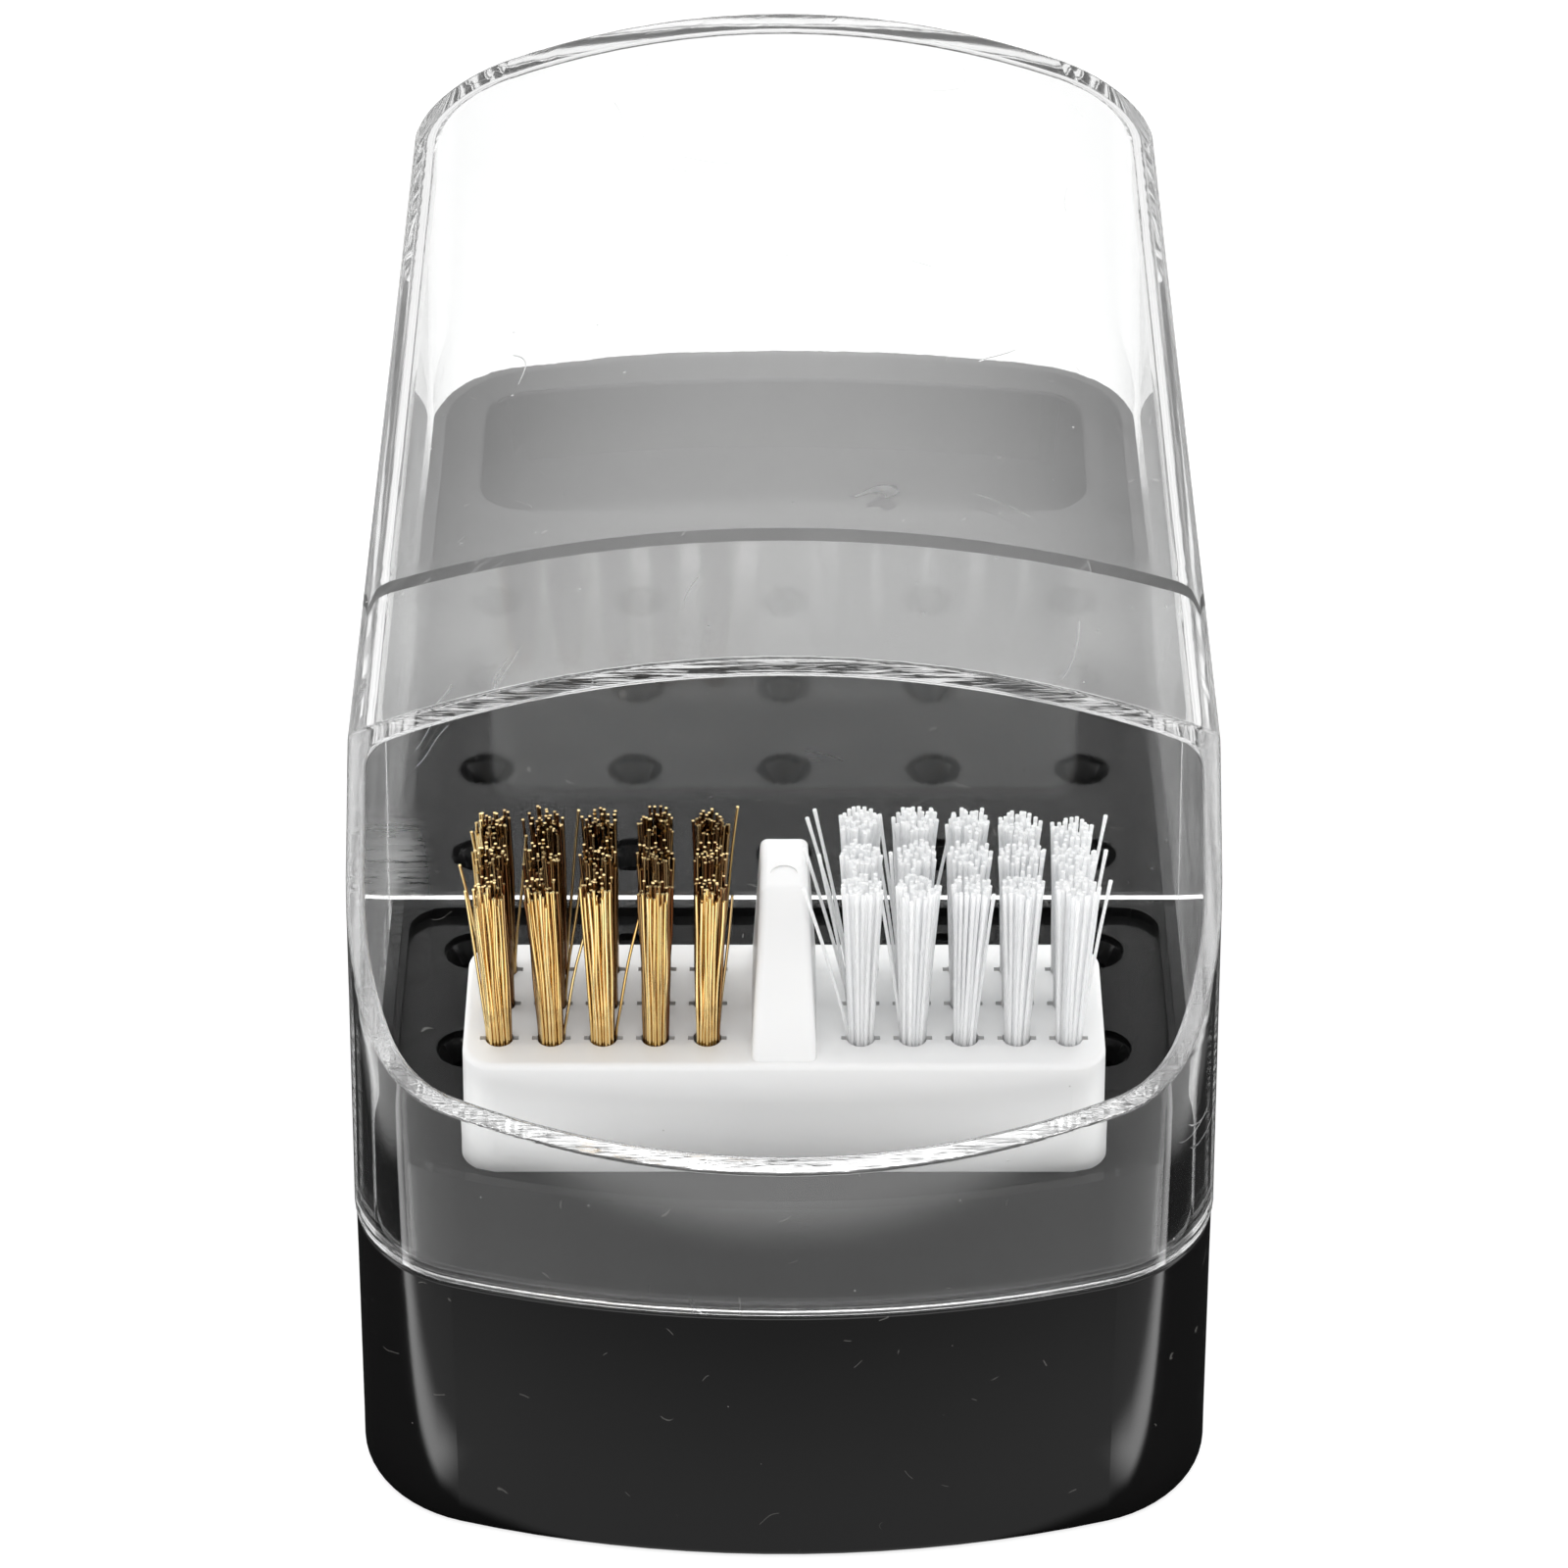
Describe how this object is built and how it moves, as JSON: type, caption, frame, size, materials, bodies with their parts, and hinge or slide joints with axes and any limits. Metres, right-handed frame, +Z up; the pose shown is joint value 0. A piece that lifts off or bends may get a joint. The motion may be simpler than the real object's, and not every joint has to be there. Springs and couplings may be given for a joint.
{
  "type": "rotary bit holder with cleaning brush",
  "caption": "Countertop holder for small rotary bits: black socketed base, lift-off clear arched cover with a slanted front opening, and a lift-out white brush with brass and nylon tufts.",
  "frame": {"origin": "centre of the footprint, on the surface the holder stands on", "axes": "+Z up, +X to the user's right, -Y towards the user (the side with the slanted opening)"},
  "size_m": [0.0706, 0.1308, 0.0738],
  "materials": {
    "black_plastic": "glossy moulded black plastic",
    "black_plastic_insert": "satin moulded black plastic",
    "clear_plastic": "clear polystyrene, polished, lightly scratched",
    "white_plastic": "smooth moulded white plastic",
    "brass_wire": "drawn brass wire",
    "nylon_bristle": "translucent white nylon bristle",
    "anchor_wire": "flat anchor wire"
  },
  "bodies": {
    "base": {"base_shell": "black_plastic", "bit_plate": "black_plastic_insert"},
    "cover": {"clear_cover": "clear_plastic"},
    "brush": {"brush_block": "white_plastic", "brass_tuft_01": "brass_wire", "brass_tuft_02": "brass_wire", "brass_tuft_03": "brass_wire", "brass_tuft_04": "brass_wire", "brass_tuft_05": "brass_wire", "brass_tuft_06": "brass_wire", "brass_tuft_07": "brass_wire", "brass_tuft_08": "brass_wire", "brass_tuft_09": "brass_wire", "brass_tuft_10": "brass_wire", "brass_tuft_11": "brass_wire", "brass_tuft_12": "brass_wire", "brass_tuft_13": "brass_wire", "brass_tuft_14": "brass_wire", "brass_tuft_15": "brass_wire", "brass_tuft_anchors": "anchor_wire", "nylon_tuft_01": "nylon_bristle", "nylon_tuft_02": "nylon_bristle", "nylon_tuft_03": "nylon_bristle", "nylon_tuft_04": "nylon_bristle", "nylon_tuft_05": "nylon_bristle", "nylon_tuft_06": "nylon_bristle", "nylon_tuft_07": "nylon_bristle", "nylon_tuft_08": "nylon_bristle", "nylon_tuft_09": "nylon_bristle", "nylon_tuft_10": "nylon_bristle", "nylon_tuft_11": "nylon_bristle", "nylon_tuft_12": "nylon_bristle", "nylon_tuft_13": "nylon_bristle", "nylon_tuft_14": "nylon_bristle", "nylon_tuft_15": "nylon_bristle", "nylon_tuft_anchors": "anchor_wire"}
  },
  "joints": [
    {"name": "cover_lift", "type": "slide", "parent": "base", "child": "cover", "axis": [0, 0, 1], "range_m": [0, 0.045]},
    {"name": "brush_lift", "type": "slide", "parent": "base", "child": "brush", "axis": [0, -0.1994, 0.9799], "range_m": [0, 0.065]}
  ]
}
